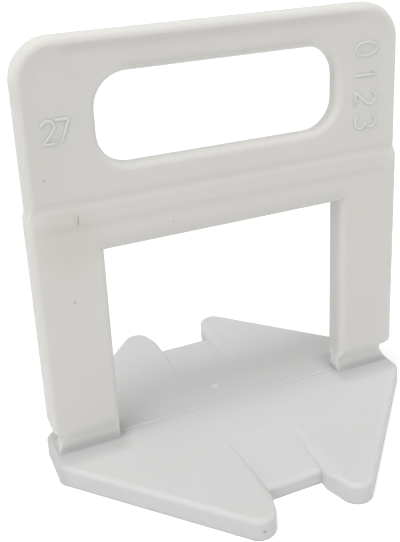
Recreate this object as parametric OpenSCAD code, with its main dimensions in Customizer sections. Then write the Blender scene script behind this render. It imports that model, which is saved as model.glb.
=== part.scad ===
// Tile levelling clip, moulded in one piece.
// The arrow-shaped plate lies in the adhesive under two tiles, and the frame stands in
// the joint between them. A wedge driven through the window presses the tiles level,
// and afterwards the frame snaps off at the necks under its legs.
// X runs along the joint, Y across it and Z up. The origin is under the plate's middle.

/* [Overall] */
// Width of the frame along the joint
clip_w = 43; // [40:0.5:50]
// Height from the underside of the plate to the top of the handle
clip_h = 47; // [46:0.5:58]
// Joint width: thickness of the frame that stands between the tiles
joint_t = 3; // [2.8:0.1:4]

/* [Plate] */
// Thickness of the plate's arms
plate_t = 2.3; // [2:0.1:3]
// Length over the points, across the joint
point_span = 39.6; // [37:0.2:46]
// Distance between the two points of one side
point_pitch = 11.2; // [10.6:0.2:13]
// Radius of a point
point_r = 1.8; // [1.4:0.1:2.1]
// Width of a blunt end
end_w = 7.8; // [6:0.2:10]
// Radius of a blunt end's corners
end_r = 1.5; // [1.3:0.1:2.5]
// Gap between the two arms
notch_w = 6.4; // [5:0.2:7]
// Length of the arms' straight inner edges
arm_inner_l = 32; // [28:0.2:33]
// Radius where an inner edge turns out to its point
arm_bend_r = 2; // [1.4:0.1:2.4]
// Length of the web between the arms, across the joint
web_l = 30.4; // [26:0.2:31]
// Length of the web's level middle
web_level_l = 13.4; // [8:0.2:18]
// Thickness of the web at the notch
web_t = 1.6; // [1.2:0.1:1.9]
// Rounding of the plate's top edges
plate_edge_r = 0.5; // [0.3:0.05:0.6]
// Width of the roll-off from an arm's top to its inner edge
roll_w = 1.2; // [0.6:0.1:1.8]
// Depth of that roll-off
roll_h = 0.8; // [0.4:0.05:1]

/* [Frame] */
// Width of the wedge window
window_w = 28; // [24:0.5:30]
// Height of the wedge window above the plate
window_h = 22.6; // [20:0.1:25]
// Height of the thick bar above the window
bar_h = 3.7; // [3:0.1:5]
// Height of the curved ramp from that bar to the thinner handle
ramp_h = 2.4; // [1.4:0.1:3]
// Rounding of the frame's edges
frame_edge_r = 0.7; // [0.4:0.05:0.9]

/* [Break necks] */
// Thickness of a neck
neck_t = 1.3; // [0.8:0.1:1.6]
// How far a neck is set in from its leg's outer side
neck_inset = 1.7; // [1:0.1:2.5]
// Height of a leg's overhanging end above the plate
leg_lift = 2.5; // [2:0.1:4]
// Height of the curve from a neck to the leg's full thickness
leg_curve_h = 1.7; // [1:0.1:3]
// Radius of a leg's lower outer corner
leg_corner_r = 1.4; // [0.8:0.1:2]
// Thickness of a neck's foot where it meets the plate
root_t = 2.2; // [1.8:0.1:2.8]
// Height of the hollow from that foot to the neck
root_h = 1.3; // [0.8:0.1:1.8]

/* [Handle] */
// How far the handle's sides are set in from the frame's
handle_inset = 0.15; // [0.05:0.05:0.5]
// Thickness of the handle's panel
panel_t = 2.2; // [1.8:0.1:2.4]
// Thickness of the rim along the handle's outline
rim_t = 2.5; // [2.4:0.05:2.8]
// Rounding of the rim's edges
rim_edge_r = 0.8; // [0.5:0.05:1.1]
// Width of the rim with the hollow that leads down to the panel
rim_w = 2.6; // [2:0.1:3]
// Radius of the handle's upper corners
handle_r = 4.2; // [3:0.1:6]
// Width of the finger hole
hole_w = 27.2; // [20:0.2:30]
// Height of the finger hole
hole_h = 9.4; // [7.2:0.1:10]
// Radius of the finger hole's corners
hole_r = 3.5; // [2:0.1:3.5]
// Rounding of the finger hole's edges
hole_edge_r = 0.7; // [0.3:0.05:0.85]
// Height of the grip above the finger hole
grip_h = 4.1; // [3.6:0.1:5]

/* [Hidden] */
$fn = 64;

// How deep a solid reaches into the one that carries it
bond = 1;
// How far the plate's straight edges lie inside its corner rounds, so that they cross
edge_lap = 0.02;
// Flats that make up a rounded edge
edge_flats = 6;
// Flats that make up the rim's hollow and the ramp
curve_flats = 6;
// How far the rim's hollow runs on below the panel's face, so that they cross
hollow_lap = 0.005;
half_w = clip_w / 2;
leg_w = (clip_w - window_w) / 2;
leg_z = plate_t + leg_lift;
window_z = plate_t + window_h;
bar_z = window_z + bar_h;
ramp_z = bar_z + ramp_h;
groove_z = plate_t + root_h;
neck_x = half_w - neck_inset;
root_x = half_w - plate_edge_r;
web_slope = (plate_t - web_t) / (web_l - web_level_l) * 2;

handle_half_w = half_w - handle_inset;
corner_x = handle_half_w - handle_r;
corner_z = clip_h - handle_r;
hole_top = clip_h - grip_h;
hole_low = hole_top - hole_h;
hole_border = hole_edge_r + bond / 2;

// One arm's outline as corner circles [x, y, radius], anticlockwise, from the front point.
arm_front = [
    [point_pitch / 2, point_r - point_span / 2, point_r],
    [half_w - end_r, end_r - end_w / 2, end_r]
];
arm_bend = [notch_w / 2 + arm_bend_r, arm_inner_l / 2, arm_bend_r];
arm_corners = [
    arm_front[0],
    arm_front[1],
    [arm_front[1].x, -arm_front[1].y, end_r],
    [arm_front[0].x, -arm_front[0].y, point_r],
    arm_bend,
    [arm_bend.x, -arm_bend.y, arm_bend_r]
];

// Height share of a smooth climb from 0 to 1 at a share t of its length.
function ease(t) = (1 - cos(180 * t)) / 2;

// A half outline and its mirror image, as one closed outline.
function mirrored(half, sign) = [
    each half,
    for (i = [len(half) - 1 : -1 : 0]) [half[i].x * sign.x, half[i].y * sign.y]
];

function next(list, i) = list[(i + 1) % len(list)];
function before(list, i) = list[(i + len(list) - 1) % len(list)];

// Outward normal of the straight edge that touches circle a and then circle b.
function edge_normal(a, b) =
    let (d = [b.x - a.x, b.y - a.y], l = norm(d), lean = (a.z - b.z) / l)
    d / l * lean + [d.y, -d.x] / l * sqrt(1 - lean * lean);

// The place where circle c, drawn in by an inset, touches an edge with the normal n.
function touch(c, n, inset = 0) = [c.x, c.y] + n * (c.z - inset);

// Section of a plate's border, from its inner side at x = from to the outline at x = to,
// with the top edge rounded in narrow flats.
module border_section(from, to, thick, edge) {
    polygon([
        [from, 0],
        [to, 0],
        for (i = [0 : edge_flats])
            let (a = 90 * i / edge_flats)
            [to - edge * (1 - cos(a)), thick - edge * (1 - sin(a))],
        [from, thick]
    ]);
}

// Plate on the XY plane around corner circles, with its top edge rounded all along the
// outline: a flat core, a round at each corner and a strip along each edge.
module soft_plate(corners, thick, edge) {
    core_in = 1.5 * edge;
    border_w = 2 * edge;
    last = len(corners) - 1;
    linear_extrude(thick)
        polygon([
            for (i = [0 : last])
                for (n = [
                    edge_normal(before(corners, i), corners[i]),
                    edge_normal(corners[i], next(corners, i))
                ])
                    touch(corners[i], n, core_in)
        ]);
    for (i = [0 : last]) {
        c = corners[i];
        to = next(corners, i);
        n = edge_normal(c, to);
        n_before = edge_normal(before(corners, i), c);
        core_r = (c.z - core_in) * norm(n + n_before) / 2;
        from = touch(c, n, edge_lap);
        translate([c.x, c.y, 0])
            rotate_extrude()
                border_section(core_r / 2, c.z, thick, edge);
        translate([from.x, from.y, 0])
            rotate([90, 0, atan2(n.y, n.x)])
                mirror([0, 0, 1])
                    linear_extrude(norm(touch(to, n) - touch(c, n)))
                        border_section(-border_w, 0, thick, edge);
    }
}

// Both halves of something that is drawn on the +X side.
module both_sides() {
    children();
    mirror([1, 0, 0])
        children();
}

// Drawing on the front plane (X across, Z up) made into a slab centred on Y = 0.
module front_slab(thick) {
    rotate([90, 0, 0])
        linear_extrude(thick, center = true)
            children();
}

// Drawing of a side section (Y across, Z up) run along X between two places.
module side_run(from_x, to_x) {
    translate([from_x, 0, 0])
        rotate([90, 0, 90])
            linear_extrude(to_x - from_x)
                children();
}

// Rectangle centred on X, standing on its lower edge, with all four corners rounded.
module soft_rect(w, h, r) {
    translate([-w / 2 + r, 0])
        square([w - 2 * r, h]);
    translate([-w / 2, r])
        square([w, h - 2 * r]);
    for (x = [r - w / 2, w / 2 - r], y = [r, h - r])
        translate([x, y])
            circle(r);
}

// Section (X inwards from an edge, Y across the thickness) run straight on the front
// plane from one [x, z] to another, with the solid on the left of the run.
module edge_run(from, to) {
    run = to - from;
    translate([from.x, 0, from.y])
        rotate([0, atan2(run.x, run.y), 0])
            rotate([0, 0, 180])
                linear_extrude(norm(run))
                    children();
}

// Section (X out from the turn's middle) turned a quarter on the front plane about
// [x, z], from an angle on.
module edge_turn(about, start) {
    translate([about.x, 0, about.y])
        rotate([90, 0, 0])
            rotate([0, 0, start])
                rotate_extrude(angle = 90)
                    children();
}

// Arm of the plate: soft-edged, with a top that rolls off towards the notch.
module arm() {
    last = 90 * (edge_flats - 1) / edge_flats;
    difference() {
        soft_plate(arm_corners, plate_t, plate_edge_r);
        translate([notch_w / 2, 0, plate_t])
            rotate([90, 0, 0])
                linear_extrude(point_span, center = true)
                    polygon([
                        [-bond, bond],
                        [-bond, -roll_h],
                        for (i = [0 : edge_flats - 1])
                            let (a = 90 * i / edge_flats)
                            [roll_w * (1 - cos(a)), roll_h * (sin(a) - 1)],
                        [roll_w * (1 + cos(last)), roll_h * (1 - sin(last))],
                        [roll_w * (1 + cos(last)), bond]
                    ]);
    }
}

// Web that joins the arms: level under the frame, then falling towards both notches.
module web() {
    lip_y = web_l / 2 - plate_edge_r;
    lip_z = web_t + plate_edge_r * web_slope;
    web_half_w = notch_w / 2 + roll_w + bond;
    side_run(-web_half_w, web_half_w) {
        polygon([
            [-web_l / 2, 0],
            [web_l / 2, 0],
            [web_l / 2, lip_z - plate_edge_r],
            [lip_y, lip_z],
            [web_level_l / 2, plate_t],
            [-web_level_l / 2, plate_t],
            [-lip_y, lip_z],
            [-web_l / 2, lip_z - plate_edge_r]
        ]);
        for (y = [-lip_y, lip_y])
            translate([y, lip_z - plate_edge_r])
                circle(plate_edge_r);
    }
}

// Front outline of one leg: neck, rounded lower corner, side and curved shoulder.
module leg_front() {
    polygon([
        [window_w / 2, plate_t - bond],
        [root_x, plate_t - bond],
        [root_x, plate_t],
        [neck_x, leg_z],
        [neck_x, leg_z + leg_corner_r],
        [window_w / 2, leg_z + leg_corner_r]
    ]);
    translate([window_w / 2, leg_z])
        square([leg_w - leg_corner_r, leg_corner_r]);
    translate([half_w - leg_corner_r, leg_z + leg_corner_r])
        circle(leg_corner_r);
    polygon([
        [0, leg_z + leg_corner_r],
        [half_w, leg_z + leg_corner_r],
        for (i = [0 : curve_flats])
            let (t = i / curve_flats)
            [half_w - (handle_inset + rim_edge_r / 2) * ease(t), bar_z + ramp_h * t],
        [0, ramp_z]
    ]);
}

// Side section of the frame: foot, neck, full joint width, ramp to the handle's panel.
module frame_side() {
    polygon(mirrored([
        [root_t / 2, plate_t - bond],
        for (i = [0 : curve_flats])
            let (t = i / curve_flats)
            [neck_t / 2 + (root_t - neck_t) / 2 * pow(1 - t, 2), plate_t + root_h * t],
        for (i = [1 : curve_flats])
            let (t = i / curve_flats)
            [neck_t / 2 + (joint_t - neck_t) / 2 * ease(t), groove_z + leg_curve_h * t],
        for (i = [0 : curve_flats])
            let (t = i / curve_flats)
            [joint_t / 2 - ((joint_t - panel_t) / 2 + hollow_lap) * ease(t), bar_z + ramp_h * t]
    ], [-1, 1]));
}

// Thick lower frame: two legs and the bar over the window, with softly rounded edges.
module frame() {
    intersection() {
        union() {
            both_sides()
                translate([window_w / 2 + leg_w / 2, -joint_t / 2, plate_t - bond])
                    linear_extrude(ramp_z - plate_t + bond)
                        soft_rect(leg_w, joint_t, frame_edge_r);
            side_run(-half_w + leg_w / 2, half_w - leg_w / 2)
                translate([0, window_z])
                    soft_rect(joint_t, bar_h + ramp_h + bond, frame_edge_r);
        }
        side_run(-half_w, half_w)
            frame_side();
        front_slab(joint_t + bond)
            both_sides()
                leg_front();
    }
}

// Section of the handle's rim: rounded edge, crest and the hollow down to the panel.
module rim_section() {
    hollow_w = rim_w - rim_edge_r;
    hollow_h = (rim_t - panel_t) / 2 + hollow_lap;
    polygon(mirrored([
        for (i = [0 : edge_flats])
            let (a = 90 * i / edge_flats)
            [rim_edge_r * (1 - cos(a)), rim_t / 2 - rim_edge_r * (1 - sin(a))],
        for (i = [1 : curve_flats])
            let (t = i / curve_flats)
            [rim_edge_r + hollow_w * t, rim_t / 2 - hollow_h * (1 - pow(1 - t, 2))]
    ], [1, -1]));
}

// Section of the border around the finger hole, rounded towards the hole.
module hole_section() {
    polygon(mirrored([
        for (i = [0 : edge_flats])
            let (a = 90 * i / edge_flats)
            [hole_edge_r * (1 - cos(a)), panel_t / 2 - hole_edge_r * (1 - sin(a))],
        [hole_border, panel_t / 2]
    ], [1, -1]));
}

// Rim along the handle's sides, upper corners and top.
module handle_rim() {
    both_sides() {
        edge_run([handle_half_w, bar_z - bond], [handle_half_w, corner_z])
            rim_section();
        edge_turn([corner_x, corner_z], 0)
            translate([handle_r, 0])
                mirror([1, 0])
                    rim_section();
    }
    edge_run([corner_x, clip_h], [-corner_x, clip_h])
        rim_section();
}

// Border all around the finger hole.
module hole_rim() {
    side_x = hole_w / 2;
    turn_x = side_x - hole_r;
    edge_run([-turn_x, hole_top], [turn_x, hole_top])
        hole_section();
    edge_run([turn_x, hole_low], [-turn_x, hole_low])
        hole_section();
    both_sides() {
        edge_run([side_x, hole_top - hole_r], [side_x, hole_low + hole_r])
            hole_section();
        edge_turn([turn_x, hole_top - hole_r], 0)
            translate([hole_r, 0])
                hole_section();
        edge_turn([turn_x, hole_low + hole_r], 270)
            translate([hole_r, 0])
                hole_section();
    }
}

// Handle: panel with the finger hole, the border around the hole and the rim.
module handle() {
    panel_in = rim_edge_r + bond / 2;
    panel_w = 2 * (handle_half_w - panel_in);
    foot_z = bar_z - bond;
    hole_out = hole_edge_r + bond / 4;
    front_slab(panel_t)
        difference() {
            union() {
                translate([0, foot_z])
                    soft_rect(panel_w, clip_h - panel_in - foot_z, handle_r - panel_in);
                translate([-panel_w / 2, foot_z])
                    square([panel_w, ramp_h + bond]);
            }
            translate([0, hole_low - hole_out])
                soft_rect(hole_w + 2 * hole_out, hole_h + 2 * hole_out, hole_r + hole_out);
        }
    hole_rim();
    handle_rim();
}

// The whole clip, one moulding.
module levelling_clip() {
    color([0.87, 0.87, 0.85]) {
        both_sides()
            arm();
        web();
        frame();
        handle();
    }
}

levelling_clip();
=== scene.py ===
# %% [markdown]
# # Tile levelling clip, moulded in milky plastic
# The clip is one moulding: an arrow-shaped plate that goes under two tiles, and a frame that stands
# up in the joint between them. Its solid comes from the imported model, which is loaded first and
# never moved. This lesson gives it a camera, a translucent plastic, the small marks that a mould
# leaves on a real clip, and soft studio light.

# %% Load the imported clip
import math

import bmesh
import bpy
from mathutils import Euler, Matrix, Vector


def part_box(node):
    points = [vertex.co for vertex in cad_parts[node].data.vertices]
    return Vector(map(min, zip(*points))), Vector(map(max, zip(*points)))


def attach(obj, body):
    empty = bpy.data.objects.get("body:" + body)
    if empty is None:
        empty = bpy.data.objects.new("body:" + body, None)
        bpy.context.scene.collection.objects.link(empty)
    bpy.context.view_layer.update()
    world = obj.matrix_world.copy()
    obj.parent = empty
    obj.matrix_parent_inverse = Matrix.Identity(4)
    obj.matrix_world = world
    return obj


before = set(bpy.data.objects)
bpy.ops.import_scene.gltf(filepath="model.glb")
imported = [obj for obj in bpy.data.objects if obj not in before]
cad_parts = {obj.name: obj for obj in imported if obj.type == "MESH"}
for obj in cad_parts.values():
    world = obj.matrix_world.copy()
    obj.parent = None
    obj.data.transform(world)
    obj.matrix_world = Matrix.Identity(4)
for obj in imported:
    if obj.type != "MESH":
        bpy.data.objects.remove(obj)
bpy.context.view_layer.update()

MM = 0.001
BODY = "root"
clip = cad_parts["levelling_clip"]
clip_low, clip_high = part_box("levelling_clip")
print("clip size in mm:", [round(side / MM, 2) for side in clip_high - clip_low])

# %% [markdown]
# ## Camera
# The camera stands in front of the clip, to its left and above it, and leans a little, as a camera
# held by hand does. The view's middle isn't the lens's middle. Turning the camera would bring the
# clip into the frame too, but it would change the perspective. The lens's shift moves the frame over
# the clip and leaves the perspective alone.

# %% Place the camera
IMAGE_W, IMAGE_H = 400, 542
CAMERA_PLACE = Vector((-34.12, -77.47, 59.23)) * MM
CAMERA_TURN = [math.radians(angle) for angle in (70.77, 2.32, -24.00)]
LENS_PIXELS = 834.7
LENS_MIDDLE = (214.9, 179.3)
SENSOR_MM = 36.0
NEAREST_MM = 1

camera_data = bpy.data.cameras.new("front_camera")
camera = bpy.data.objects.new("front_camera", camera_data)
bpy.context.scene.collection.objects.link(camera)
camera.location = CAMERA_PLACE
camera.rotation_euler = Euler(CAMERA_TURN, "XYZ")
long_side = max(IMAGE_W, IMAGE_H)
camera_data.sensor_width = SENSOR_MM
camera_data.lens = SENSOR_MM * LENS_PIXELS / long_side
camera_data.shift_x = (IMAGE_W / 2 - LENS_MIDDLE[0]) / long_side
camera_data.shift_y = (LENS_MIDDLE[1] - IMAGE_H / 2) / long_side
camera_data.clip_start = NEAREST_MM * MM
bpy.context.scene.camera = camera
print("lens in mm:", round(camera_data.lens, 1))

# %% [markdown]
# ## Node helpers
# A material is a graph of nodes. It could be put together by hand in the shader editor, but then the
# script couldn't make it again. Written out node by node a graph soon gets long, so a few helpers
# keep it short: one adds a node with its inputs, one does a single sum, one opens a node group with
# named sockets, and one tells where a point lies.

# %% Add nodes and do sums
def add_node(tree, kind, inputs=None, **settings):
    """Adds a node to a tree; inputs may be values or the sockets of other nodes."""
    node = tree.nodes.new(kind)
    for name, value in settings.items():
        setattr(node, name, value)
    for name, value in (inputs or {}).items():
        if isinstance(value, bpy.types.NodeSocket):
            tree.links.new(value, node.inputs[name])
        else:
            node.inputs[name].default_value = value
    return node


def math_node(tree, operation, first, second=0.0):
    """One sum on values or sockets; returns its result socket."""
    return add_node(tree, "ShaderNodeMath", {0: first, 1: second}, operation=operation).outputs[0]


print("helpers:", add_node.__name__, math_node.__name__)

# %% Open a node group
def new_group(name, inputs, outputs):
    """Opens a shader node group; inputs are given as {name: (type, default)}."""
    tree = bpy.data.node_groups.new(name, "ShaderNodeTree")
    for socket, (kind, default) in inputs.items():
        made = tree.interface.new_socket(socket, in_out="INPUT", socket_type=kind)
        made.default_value = default
    for socket, kind in outputs.items():
        tree.interface.new_socket(socket, in_out="OUTPUT", socket_type=kind)
    return tree, tree.nodes.new("NodeGroupInput").outputs, tree.nodes.new("NodeGroupOutput").inputs


def object_place(tree):
    """Where a point lies, in metres from the middle of the plate's underside."""
    return add_node(tree, "ShaderNodeTexCoord").outputs["Object"]


print("helpers:", new_group.__name__, object_place.__name__)

# %% [markdown]
# ## Cloud in the plastic
# Polypropylene without pigment is never quite even: it is a little darker and warmer in places. A
# painted picture could show that, but it would have to be wrapped round the clip. Two noises, one
# broad and one fine, need no wrapping, because they are measured in space. They are a group, since
# the clip and its raised marks all use them.

# %% Cloud group
FLOAT, COLOUR = "NodeSocketFloat", "NodeSocketColor"
WHITE = (1, 1, 1, 1)
BROAD_SCALE, BROAD_DETAIL, BROAD_SHARE = 70.0, 2.0, 0.75
FINE_SCALE, FINE_DETAIL, FINE_SHARE = 420.0, 3.0, 0.25
NOISE_MIDDLE = 0.5
CLOUD_DEPTH = 0.06
CLOUD_WARMTH = 0.5


def noise(tree, scale, detail):
    """Noise over the clip; 1000 in scale makes spots of about a millimetre."""
    inputs = {"Vector": object_place(tree), "Scale": scale, "Detail": detail}
    return add_node(tree, "ShaderNodeTexNoise", inputs).outputs[0]


def make_cloud_group():
    """Swings a colour up and down; blue swings more, so the dark places are warmer."""
    inputs = {"Colour": (COLOUR, WHITE), "Warmth": (FLOAT, CLOUD_WARMTH), "Depth": (FLOAT, CLOUD_DEPTH)}
    tree, given, out = new_group("milky_cloud", inputs, {"Colour": COLOUR})
    broad = math_node(tree, "MULTIPLY", noise(tree, BROAD_SCALE, BROAD_DETAIL), BROAD_SHARE)
    fine = math_node(tree, "MULTIPLY", noise(tree, FINE_SCALE, FINE_DETAIL), FINE_SHARE)
    cloud = math_node(tree, "SUBTRACT", math_node(tree, "ADD", broad, fine), NOISE_MIDDLE)
    swing = math_node(tree, "MULTIPLY", cloud, given["Depth"])
    level = math_node(tree, "ADD", swing, 1.0)
    blue_level = math_node(tree, "ADD", level, math_node(tree, "MULTIPLY", swing, given["Warmth"]))
    parts = add_node(tree, "ShaderNodeSeparateColor", {0: given["Colour"]}).outputs
    levels = (level, level, blue_level)
    tinted = {i: math_node(tree, "MULTIPLY", parts[i], levels[i]) for i in range(len(levels))}
    tree.links.new(add_node(tree, "ShaderNodeCombineColor", tinted).outputs[0], out["Colour"])
    return tree


cloud_group = make_cloud_group()
print("group:", cloud_group.name)

# %% [markdown]
# ## Skin of the mould
# A mould is polished only as far as it has to be, so the clip's skin is satin: fine grain on wide,
# shallow waves. Moving the mesh that finely would take millions of faces. So the skin is a height
# for a Bump node, and a roughness that changes a little with the waves.

# %% Skin group
GRAIN_SCALE, GRAIN_DETAIL, GRAIN_SHARE = 2600.0, 2.0, 0.3
WAVE_SCALE, WAVE_DETAIL = 160.0, 1.0
SATIN_ROUGHNESS = 0.42
SATIN_PATCHES = 0.1


def make_skin_group():
    """Roughness with faint patches, and a height for a bump."""
    inputs = {"Roughness": (FLOAT, SATIN_ROUGHNESS), "Patchiness": (FLOAT, SATIN_PATCHES)}
    tree, given, out = new_group("mould_skin", inputs, {"Roughness": FLOAT, "Height": FLOAT})
    grain = math_node(tree, "MULTIPLY", noise(tree, GRAIN_SCALE, GRAIN_DETAIL), GRAIN_SHARE)
    wave = noise(tree, WAVE_SCALE, WAVE_DETAIL)
    patch = math_node(tree, "MULTIPLY", math_node(tree, "SUBTRACT", wave, NOISE_MIDDLE), given["Patchiness"])
    tree.links.new(math_node(tree, "ADD", given["Roughness"], patch), out["Roughness"])
    tree.links.new(math_node(tree, "ADD", grain, wave), out["Height"])
    return tree


skin_group = make_skin_group()
print("group:", skin_group.name)

# %% [markdown]
# ## One plastic, two tones, and painted light on the necks
# The flat plate is a neutral white, and the thicker frame above it is warmer. The thin necks between
# them, where the frame snaps off, are painted paler: painted light, which lifts the shade in their
# recess under the legs. Three materials would meet in hard lines. Here the height of a point chooses
# its tone, so one tone runs softly into the next.

# %% Tone group
PLATE_TONE = (0.646, 0.646, 0.644, 1)
FRAME_TONE = (0.708, 0.699, 0.671, 1)
# Painted light: the necks are painted paler than the plastic, to lift the shade in their recess.
NECK_PAINTED_LIGHT_TONE = (0.75, 0.745, 0.725, 1)
FRAME_FROM_MM = (2.4, 5.0)
NECK_FROM_MM = (2.5, 3.3)
NECK_TO_MM = (5.4, 4.4)


def mix_colours(tree, share, first, second):
    """Blends two colours, which are inputs 6 and 7 of a Mix node; output 2 is the blend."""
    return add_node(tree, "ShaderNodeMix", {0: share, 6: first, 7: second}, data_type="RGBA").outputs[2]


def share_of(tree, value, start_mm, stop_mm, change="SMOOTHSTEP"):
    """0 where a length is at start and 1 where it is at stop, with a soft change between them."""
    ends = {"Value": value, "From Min": start_mm * MM, "From Max": stop_mm * MM}
    return add_node(tree, "ShaderNodeMapRange", ends, interpolation_type=change).outputs[0]


def make_tone_group():
    """Plate tone below, frame tone above, and necks painted paler between them, as painted light in their
    shade.
    """
    inputs = {"Plate": (COLOUR, PLATE_TONE), "Frame": (COLOUR, FRAME_TONE)}
    tree, given, out = new_group("tone_by_height", inputs, {"Colour": COLOUR})
    height = add_node(tree, "ShaderNodeSeparateXYZ", {0: object_place(tree)}).outputs["Z"]
    in_frame = share_of(tree, height, *FRAME_FROM_MM, change="LINEAR")
    tone = mix_colours(tree, in_frame, given["Plate"], given["Frame"])
    above_plate = share_of(tree, height, *NECK_FROM_MM)
    below_leg = share_of(tree, height, *NECK_TO_MM)
    in_neck = math_node(tree, "MULTIPLY", above_plate, below_leg)
    tree.links.new(mix_colours(tree, in_neck, tone, NECK_PAINTED_LIGHT_TONE), out["Colour"])
    return tree


tone_group = make_tone_group()
print("group:", tone_group.name)

# %% [markdown]
# ## Specks and a stain
# A few dark specks, burnt grains or dirt, sit in the plastic, and the left end of the bar has a faint
# warm stain. Each could be a little disc on the surface, but discs stand proud and catch the light.
# Here each is a ball in space, and whatever surface lies in the ball takes its colour. The four
# specks close together lie along a scuff.

# %% Specks and stain
SPECKS = [
    ((-19.28, -1.1, 33.31), 0.12),
    ((-17.63, -1.5, 20.00), 0.13),
    ((-6.46, -1.5, 26.68), 0.10),
    ((-8.83, -1.5, 26.15), 0.08),
    ((-16.40, -1.5, 29.15), 0.09),
    ((-16.48, -1.5, 28.93), 0.09),
    ((-16.52, -1.5, 28.70), 0.10),
    ((-16.50, -1.5, 28.45), 0.12),
    ((14.73, -1.2, 44.34), 0.10),
    ((-5.77, -19.75, 1.00), 0.18),
]
SPECK_OUTER, SPECK_INNER = 1.4, 0.4
SPECK_SHADE = 0.36
STAIN_SPOT_MM = (-17.2, -1.5, 26.4)
STAIN_REACH_MM = (4.6, 1.2)
STAIN_TONE = (0.45, 0.37, 0.22, 1)
STAIN_SHARE = 0.10


def largest(tree, values):
    """The largest of several sockets at each point."""
    result = values[0]
    for value in values[1:]:
        result = math_node(tree, "MAXIMUM", result, value)
    return result


def distance_from(tree, place, spot_mm):
    """How far each point of the surface is from a spot, in metres."""
    spot = Vector(spot_mm) * MM
    return add_node(tree, "ShaderNodeVectorMath", {0: place, 1: spot}, operation="DISTANCE").outputs["Value"]


def speck_shade(tree, place):
    """How dark the specks make a point, with a soft border round each."""
    balls = []
    for spot_mm, radius in SPECKS:
        away = distance_from(tree, place, spot_mm)
        balls.append(share_of(tree, away, SPECK_OUTER * radius, SPECK_INNER * radius, change="LINEAR"))
    return math_node(tree, "MULTIPLY", largest(tree, balls), SPECK_SHADE)


def stained(tree, place, colour):
    """A colour with the faint stain on it."""
    near = share_of(tree, distance_from(tree, place, STAIN_SPOT_MM), *STAIN_REACH_MM)
    return mix_colours(tree, math_node(tree, "MULTIPLY", near, STAIN_SHARE), colour, STAIN_TONE)


print("specks:", len(SPECKS))

# %% [markdown]
# ## Painted shade lines and corners
# Soft darker lines are painted along the bar over the window, on the ramp to the handle, over the
# finger hole and under the grip's top edge. They are painted shade: of the rounded edges of the window
# and the hole, of the ramp and the crease between bar and handle, and of the hollow under the grip's
# top edge. The broad line in the middle of the bar is only darker. The corners where the legs meet the
# plate get painted shade too. Both could be painted on the mesh, but they follow the clip's own
# directions. So they are measured along its axes, and one rule serves both ends and both sides. All
# marks and painted shade go into one group, because every plastic on the clip has them.

# %% Painted shade lines and feet
# Painted shade: each line darkens the clip at one height, over part of its width.
PAINTED_SHADE_LINES = [
    {"z": 25.4, "half_w": 1.5, "half_l": 13.4, "shade": 0.07},
    {"z": 28.1, "half_w": 0.9, "half_l": 18.5, "shade": 0.05},
    {"z": 29.4, "half_w": 1.0, "half_l": 19.0, "shade": 0.06},
    {"z": 30.5, "half_w": 0.8, "half_l": 19.0, "shade": 0.07},
    {"z": 43.5, "half_w": 0.7, "half_l": 9.5, "shade": 0.08},
    {"z": 45.8, "half_w": 1.0, "half_l": 15.5, "shade": 0.06},
]
PAINTED_LINE_FADE_MM = 2.0
# Painted shade in the corners where the legs meet the plate.
FOOT_X_MM = (12.6, 14.4)
FOOT_Y_MM = (4.2, 2.2)
FOOT_Z_MM = (3.3, 2.35)
FOOT_SHADE = 0.16


def painted_line_shade(tree, sides):
    """How dark the painted shade lines make a point; they fade out at their ends."""
    lines = []
    for line in PAINTED_SHADE_LINES:
        away = math_node(tree, "ABSOLUTE", math_node(tree, "SUBTRACT", sides["Z"], line["z"] * MM))
        across = math_node(tree, "MULTIPLY", share_of(tree, away, line["half_w"], 0.0), line["shade"])
        along = share_of(tree, sides["X"], line["half_l"] + PAINTED_LINE_FADE_MM, line["half_l"])
        lines.append(math_node(tree, "MULTIPLY", across, along))
    return largest(tree, lines)


def foot_shade(tree, sides):
    """How dark the painted shade in the feet's corners makes a point; it fades out over the plate."""
    under_leg = share_of(tree, sides["X"], *FOOT_X_MM)
    near_leg = share_of(tree, sides["Y"], *FOOT_Y_MM)
    low = share_of(tree, sides["Z"], *FOOT_Z_MM)
    corner = math_node(tree, "MULTIPLY", math_node(tree, "MULTIPLY", under_leg, near_leg), low)
    return math_node(tree, "MULTIPLY", corner, FOOT_SHADE)


# Counts the painted shade lines.
print("sink lines:", len(PAINTED_SHADE_LINES))

# %% Group of all marks and painted shade
# The specks are real dirt; the lines and the feet's corners are painted shade. All of them darken towards
# this tone.
DIRT_AND_SHADE_TONE = (0.03, 0.03, 0.03, 1)


def make_marks_and_shade_group():
    """Stain, specks, painted shade lines and painted shade in the feet's corners, over a given colour."""
    tree, given, out = new_group("clip_marks_and_shade", {"Colour": (COLOUR, WHITE)}, {"Colour": COLOUR})
    place = object_place(tree)
    folded = add_node(tree, "ShaderNodeVectorMath", {0: place}, operation="ABSOLUTE").outputs["Vector"]
    sides = add_node(tree, "ShaderNodeSeparateXYZ", {0: folded}).outputs
    shade = largest(tree, [speck_shade(tree, place), foot_shade(tree, sides), painted_line_shade(tree, sides)])
    colour = mix_colours(tree, shade, stained(tree, place, given["Colour"]), DIRT_AND_SHADE_TONE)
    tree.links.new(colour, out["Colour"])
    return tree


marks_and_shade_group = make_marks_and_shade_group()
print("group:", marks_and_shade_group.name)

# %% [markdown]
# ## Milky plastic
# Light goes into this plastic, spreads a little and comes out again, which softens every shadow on
# it. A plain white paint would look like chalk, and clear glass would show the far side. Subsurface
# scattering in the shader lies between the two. The raised marks are too thin for it, so they get
# the same plastic without scattering. The thin flash and the broken gate are painted paler: a painted
# highlight, for the light their low ridges catch.

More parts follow.
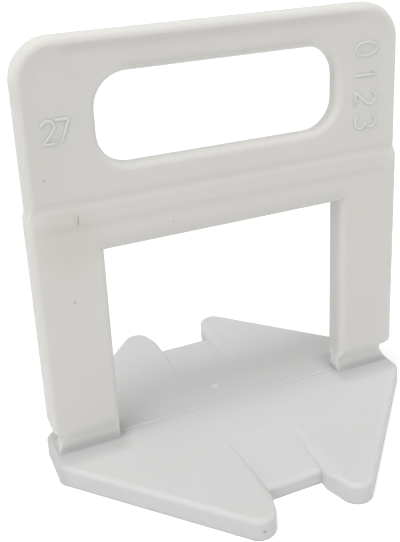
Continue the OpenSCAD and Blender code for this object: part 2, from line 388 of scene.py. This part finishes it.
# %% Plastic materials
# Painted highlight: the flash line and the gate's stump are painted paler than the plastic, for the light
# they catch.
FLASH_HIGHLIGHT_TONE = (0.76, 0.76, 0.757, 1)
GATE_HIGHLIGHT_TONE = (0.72, 0.72, 0.717, 1)
SCATTER_MM = 0.6
SCATTER_TINT = (1.0, 0.95, 0.85)
SCATTER_SHARE = 0.9
NO_SCATTER = 0.0
PLASTIC_IOR = 1.49
SATIN_LEVEL = 0.12
SKIN_STRENGTH = 0.15
SKIN_DEPTH_MM = 0.05


def plastic_material(name, scatter, plate_tone, frame_tone):
    """Milky satin plastic; scatter is the share of light that goes in and spreads."""
    material = bpy.data.materials.new(name)
    material.use_nodes = True
    tree = material.node_tree
    tones = {"Plate": plate_tone, "Frame": frame_tone}
    tone = add_node(tree, "ShaderNodeGroup", tones, node_tree=tone_group).outputs["Colour"]
    cloudy = {"Colour": tone, "Depth": CLOUD_DEPTH}
    cloud = add_node(tree, "ShaderNodeGroup", cloudy, node_tree=cloud_group).outputs["Colour"]
    marked_and_shaded = add_node(tree, "ShaderNodeGroup", {"Colour": cloud}, node_tree=marks_and_shade_group).outputs["Colour"]
    skin = add_node(tree, "ShaderNodeGroup", {"Roughness": SATIN_ROUGHNESS}, node_tree=skin_group).outputs
    bump = {"Strength": SKIN_STRENGTH, "Distance": SKIN_DEPTH_MM * MM, "Height": skin["Height"]}
    relief = add_node(tree, "ShaderNodeBump", bump).outputs[0]
    shader = tree.nodes["Principled BSDF"]
    tree.links.new(marked_and_shaded, shader.inputs["Base Color"])
    tree.links.new(skin["Roughness"], shader.inputs["Roughness"])
    tree.links.new(relief, shader.inputs["Normal"])
    shader.inputs["Subsurface Weight"].default_value = scatter
    shader.inputs["Subsurface Radius"].default_value = SCATTER_TINT
    shader.inputs["Subsurface Scale"].default_value = SCATTER_MM * MM
    shader.inputs["IOR"].default_value = PLASTIC_IOR
    shader.inputs["Specular IOR Level"].default_value = SATIN_LEVEL
    return material


milky_plastic = plastic_material("milky_plastic", SCATTER_SHARE, PLATE_TONE, FRAME_TONE)
raised_plastic = plastic_material("raised_plastic", NO_SCATTER, PLATE_TONE, FRAME_TONE)
thin_plastic = plastic_material("thin_plastic", NO_SCATTER, FLASH_HIGHLIGHT_TONE, FLASH_HIGHLIGHT_TONE)
gate_plastic = plastic_material("gate_plastic", NO_SCATTER, GATE_HIGHLIGHT_TONE, GATE_HIGHLIGHT_TONE)
clip.data.materials.clear()
clip.data.materials.append(milky_plastic)
print("materials:", milky_plastic.name, raised_plastic.name, thin_plastic.name, gate_plastic.name)

# %% [markdown]
# ## Raised strokes
# Small marks are cut into the mould with a rounded cutter, so on the clip they stand up as low round
# ridges. A curve with a bevel would do, but it is round underneath too and half of it would be wasted
# inside the clip. Here a section of five points is carried along a path, and its two outer points are
# sunk a little into the face. The ridge's ends run out flat, as a cutter's path does.

# %% Ridge along a path
SINK_MM = 0.03
SUNK = None
RIDGE_SECTION = [(0.5, SUNK), (0.36, 0.62), (0.0, 1.0), (-0.36, 0.62), (-0.5, SUNK)]


def ridge_ring(point, side, normal, width, height):
    """Section points at one place of the path, in metres; a sunk point lies under the face."""
    ring = []
    for across, up in RIDGE_SECTION:
        lift = -SINK_MM if up is SUNK else height * up
        ring.append((point + side * (width * across) + normal * lift) * MM)
    return ring


def ridge_rings(path, normal, width, height, fade):
    """Rings along a path in mm; fade gives the share of the height at its start and its end."""
    last = len(path) - 1
    rings = []
    for i, point in enumerate(path):
        along = (path[min(i + 1, last)] - path[max(i - 1, 0)]).normalized()
        share = fade[0] + (fade[1] - fade[0]) * i / last
        rings.append(ridge_ring(point, along.cross(normal), normal, width, height * share))
    return rings


def join_rings(bm, rings):
    """Joins each ring of points to the next one with four-sided faces."""
    for ring, following in zip(rings, rings[1:]):
        for k in range(len(ring)):
            after = (k + 1) % len(ring)
            bm.faces.new((ring[k], ring[after], following[after], following[k]))


def add_ridge(bm, path, normal, width, height, fade=(1.0, 1.0)):
    """Adds one closed ridge with sloping ends to a mesh that is being built."""
    rings = ridge_rings(path, normal, width, height, fade)
    verts = [[bm.verts.new(point) for point in ring] for ring in rings]
    join_rings(bm, verts)
    for ring, end, before in ((verts[0], path[0], path[1]), (verts[-1], path[-1], path[-2])):
        way = (end - before).normalized() * (width / 2)
        tip = bm.verts.new((end + way - normal * SINK_MM) * MM)
        for k, vert in enumerate(ring):
            bm.faces.new((vert, ring[(k + 1) % len(ring)], tip))


print("points in a ridge's section:", len(RIDGE_SECTION))

# %% Finish a piece
def finish_piece(name, bm, material):
    """Turns a built mesh into a smooth piece that rides on the clip."""
    bmesh.ops.recalc_face_normals(bm, faces=bm.faces)
    mesh = bpy.data.meshes.new(name)
    bm.to_mesh(mesh)
    bm.free()
    for face in mesh.polygons:
        face.use_smooth = True
    mesh.materials.append(material)
    piece = bpy.data.objects.new(name, mesh)
    bpy.context.scene.collection.objects.link(piece)
    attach(piece, BODY)
    print(name, "faces:", len(mesh.polygons))


# %% [markdown]
# ## Figures
# A mould's nests are numbered, and the numbers come out raised on every clip. Text objects could make
# them, but with sharp edges and flat tops. Plain numerals, drawn as a few strokes in a box 1 high,
# take the cutter's round ridges. A pair stands beside the finger hole, and a row on the other side
# reads downwards.

# %% Strokes of the numerals
ARC_STEPS = 12
NUMERAL_W = 0.56


def arc(middle, radii, start, stop):
    """Points of an elliptical arc, angles in degrees."""
    turns = [math.radians(start + (stop - start) * i / ARC_STEPS) for i in range(ARC_STEPS + 1)]
    return [(middle[0] + radii[0] * math.cos(t), middle[1] + radii[1] * math.sin(t)) for t in turns]


HALF = NUMERAL_W / 2
STEM_X = HALF + 0.06
NUMERALS = {
    "0": [arc((HALF, 0.5), (HALF, 0.5), 90, 270), arc((HALF, 0.5), (HALF, 0.5), -90, 90)],
    "1": [[(0.08, 0.76), (STEM_X, 1.0)], [(STEM_X, 1.0), (STEM_X, 0.0)]],
    "2": [arc((HALF, 0.72), (HALF, 0.28), 165, -35) + [(0.0, 0.0)], [(0.0, 0.0), (NUMERAL_W, 0.0)]],
    "3": [arc((HALF, 0.75), (0.86 * HALF, 0.25), 155, -90), arc((HALF, 0.25), (HALF, 0.25), 90, -155)],
    "7": [[(0.0, 1.0), (NUMERAL_W, 1.0)], [(NUMERAL_W, 1.0), (0.18, 0.0)]],
}
print("numerals:", " ".join(NUMERALS))

# %% Raised figures on the handle
PANEL_FACE_Y = -1.1
STROKE_W, STROKE_H = 0.34, 0.09
FRONT = Vector((0, -1, 0))
RIGHTWARDS = Vector((1, 0, 0))
UPWARDS = Vector((0, 0, 1))
LEFT_CORNER = Vector((-19.0, PANEL_FACE_Y, 36.8))
LEFT_HEIGHT, LEFT_PITCH = 2.3, 1.45
RIGHT_CORNER = Vector((15.9, PANEL_FACE_Y, 42.8))
RIGHT_HEIGHT, RIGHT_PITCH = 2.7, 2.75


def add_figures(bm, figures, corner, along, up, height, pitch):
    """Writes numerals on the handle's front face, in mm, from the first one's lower left corner."""
    for i, figure in enumerate(figures):
        start = corner + along * (pitch * i)
        for stroke in NUMERALS[figure]:
            path = [start + along * (x * height) + up * (y * height) for x, y in stroke]
            add_ridge(bm, path, FRONT, STROKE_W, STROKE_H)


left_figures = bmesh.new()
add_figures(left_figures, "27", LEFT_CORNER, RIGHTWARDS, UPWARDS, LEFT_HEIGHT, LEFT_PITCH)
finish_piece("figures_left", left_figures, raised_plastic)
right_figures = bmesh.new()
add_figures(right_figures, "0123", RIGHT_CORNER, -UPWARDS, RIGHTWARDS, RIGHT_HEIGHT, RIGHT_PITCH)
finish_piece("figures_right", right_figures, raised_plastic)

# %% [markdown]
# ## Parting line and burr
# Where the two halves of the mould meet, a hair of plastic creeps into the joint and leaves a thin
# line across the plate, strongest at the legs. A scuff on the bar has raised a short burr. A bump in
# the material could hint at both, but real ridges also catch the light and stay in the mesh.

# %% Line across the plate and burr on the bar
PLATE_TOP = 2.3
LINE_ENDS = [(-13.9, -4.1), (13.9, 5.9)]
LINE_STEPS = 20
LINE_W, LINE_H = 0.20, 0.09
LINE_FADE = (1.0, 0.15)
BURR_X, BURR_Y, BURR_Z = -16.62, -1.5, 28.75
BURR_BOW, BURR_HALF = 0.12, 0.5
BURR_TURN = (110, 250)
BURR_W, BURR_H = 0.22, 0.08

parting_line = bmesh.new()
for start_x, stop_x in LINE_ENDS:
    steps = [start_x + (stop_x - start_x) * i / LINE_STEPS for i in range(LINE_STEPS + 1)]
    line_path = [Vector((x, 0, PLATE_TOP)) for x in steps]
    add_ridge(parting_line, line_path, UPWARDS, LINE_W, LINE_H, LINE_FADE)
finish_piece("parting_line", parting_line, thin_plastic)

burr = bmesh.new()
bow = arc((1, 0), (1, 1), *BURR_TURN)
burr_path = [Vector((BURR_X + x * BURR_BOW, BURR_Y, BURR_Z + y * BURR_HALF)) for x, y in bow]
add_ridge(burr, burr_path, FRONT, BURR_W, BURR_H)
finish_piece("scuff_burr", burr, raised_plastic)

# %% [markdown]
# ## Gate mark
# The plastic came in through a small gate behind the frame, which broke off when the clip left the
# mould and left a low round stump. A flattened ball would do, but its rim would be steep. Turning a
# drawn profile about its axis lets the stump run out softly into the plate.

# %% Turn the gate's stump
GATE_PLACE = Vector((-0.6, 3.2, PLATE_TOP))
GATE_PROFILE = [(0.62, -0.03), (0.54, 0.005), (0.40, 0.03), (0.25, 0.05), (0.08, 0.06)]
GATE_SIDES = 24


def gate_ring(bm, radius, height):
    """Points round the stump at one height of its profile, given in mm."""
    turns = [2 * math.pi * i / GATE_SIDES for i in range(GATE_SIDES)]
    spots = [Vector((radius * math.cos(t), radius * math.sin(t), height)) for t in turns]
    return [bm.verts.new((GATE_PLACE + spot) * MM) for spot in spots]


gate_mark = bmesh.new()
gate_rings = [gate_ring(gate_mark, radius, height) for radius, height in GATE_PROFILE]
join_rings(gate_mark, gate_rings)
gate_mark.faces.new(gate_rings[-1])
gate_mark.faces.new(list(reversed(gate_rings[0])))
finish_piece("gate_mark", gate_mark, gate_plastic)

# %% [markdown]
# ## Floor
# The clip stands on white paper. Paper that is lit until it turns white would also throw too much
# light up at the clip. So it is a pale paper that glows only for the rays that see it, from the
# camera or by reflection. It glows a little less near the clip, where its soft shadow falls.

# %% White paper
FLOOR_COLOUR = (0.82, 0.82, 0.82, 1)
PAPER_ROUGHNESS = 0.9
PAPER_LEVEL = 0.1
GLOW_REACH_MM = (60, 500)
GLOW_NEAR, GLOW_FAR = 0.40, 0.56


def mix_values(tree, share, first, second):
    """Blends two numbers, which are inputs 2 and 3 of a Mix node; output 0 is the blend."""
    return add_node(tree, "ShaderNodeMix", {0: share, 2: first, 3: second}, data_type="FLOAT").outputs[0]


def seen_rays(tree):
    """1 for rays from the camera and for reflections and clear views, 0 for those that carry light."""
    rays = add_node(tree, "ShaderNodeLightPath").outputs
    return largest(tree, [rays["Is Camera Ray"], rays["Is Glossy Ray"], rays["Is Transmission Ray"]])


def make_paper():
    """Pale paper that looks white, with the clip's shadow on it."""
    material = bpy.data.materials.new("white_paper")
    material.use_nodes = True
    tree = material.node_tree
    paper = tree.nodes["Principled BSDF"]
    paper.inputs["Base Color"].default_value = FLOOR_COLOUR
    paper.inputs["Roughness"].default_value = PAPER_ROUGHNESS
    paper.inputs["Specular IOR Level"].default_value = PAPER_LEVEL
    place = object_place(tree)
    away = add_node(tree, "ShaderNodeVectorMath", {0: place}, operation="LENGTH").outputs["Value"]
    level = mix_values(tree, share_of(tree, away, *GLOW_REACH_MM), GLOW_NEAR, GLOW_FAR)
    strength = math_node(tree, "MULTIPLY", seen_rays(tree), level)
    glow = add_node(tree, "ShaderNodeEmission", {"Strength": strength})
    both = add_node(tree, "ShaderNodeAddShader", {0: paper.outputs[0], 1: glow.outputs[0]})
    tree.links.new(both.outputs[0], tree.nodes["Material Output"].inputs["Surface"])
    return material


white_paper = make_paper()
print("material:", white_paper.name)

# %% Floor
FLOOR_SIDE = 3.0

half_side = FLOOR_SIDE / 2
floor_mesh = bpy.data.meshes.new("paper_floor")
floor_corners = [(x * half_side, y * half_side, 0) for x, y in ((-1, -1), (1, -1), (1, 1), (-1, 1))]
floor_mesh.from_pydata(floor_corners, [], [(0, 1, 2, 3)])
floor_mesh.materials.append(white_paper)
floor = bpy.data.objects.new("paper_floor", floor_mesh)
bpy.context.scene.collection.objects.link(floor)
print("floor side in m:", FLOOR_SIDE)

# %% [markdown]
# ## Light tent
# Small white goods are shot in a light tent: soft light comes from all round, and more of it from
# the front. Many lamps could make that, but the world's own light does it with less noise. It is
# brighter in front of the clip than behind it, and the camera and reflections see plain white.

# %% Tent
AMBIENT = 0.60
FRONT_GAIN = 0.36
SEEN_WHITE = 1.0

world = bpy.data.worlds.new("light_tent")
world.use_nodes = True
tent_tree = world.node_tree
way = add_node(tent_tree, "ShaderNodeTexCoord").outputs["Generated"]
backwards = add_node(tent_tree, "ShaderNodeSeparateXYZ", {0: way}).outputs["Y"]
tilt = math_node(tent_tree, "SUBTRACT", 1.0, math_node(tent_tree, "MULTIPLY", backwards, FRONT_GAIN))
tent_level = math_node(tent_tree, "MULTIPLY", tilt, AMBIENT)
background = tent_tree.nodes["Background"]
background.inputs["Color"].default_value = WHITE
strength = mix_values(tent_tree, seen_rays(tent_tree), tent_level, SEEN_WHITE)
tent_tree.links.new(strength, background.inputs["Strength"])
bpy.context.scene.world = world
bpy.context.scene.view_settings.view_transform = "Standard"
print("tent level:", AMBIENT)

# %% [markdown]
# ## Lamps
# A softbox hangs high above the clip, to its left and a little in front. The handle keeps part of its
# light off the plate, so the plate is darker near the frame. A lamp close by would do that too, but
# it would burn out the grip, which is nearer to it than the plate is. A wide weak lamp in front and
# to the left fills in the upright faces.

# %% Softbox above and fill lamp in front
KEY_PLACE = Vector((-360, -140, 1140)) * MM
KEY_SIDE = 440 * MM
KEY_WATTS = 6.4
FILL_PLACE = Vector((-170, -300, 60)) * MM
FILL_SIDE = 300 * MM
FILL_WATTS = 0.14


def make_lamp(name, place, side, watts):
    """Square lamp that faces the middle of the clip."""
    data = bpy.data.lights.new(name, "AREA")
    data.size = side
    data.energy = watts
    lamp = bpy.data.objects.new(name, data)
    lamp.location = place
    aim = Vector((0, 0, clip_high.z / 2)) - place
    lamp.rotation_euler = aim.to_track_quat("-Z", "Y").to_euler()
    bpy.context.scene.collection.objects.link(lamp)
    print(name, "power in W:", watts)


make_lamp("softbox_above", KEY_PLACE, KEY_SIDE, KEY_WATTS)
make_lamp("fill_lamp", FILL_PLACE, FILL_SIDE, FILL_WATTS)
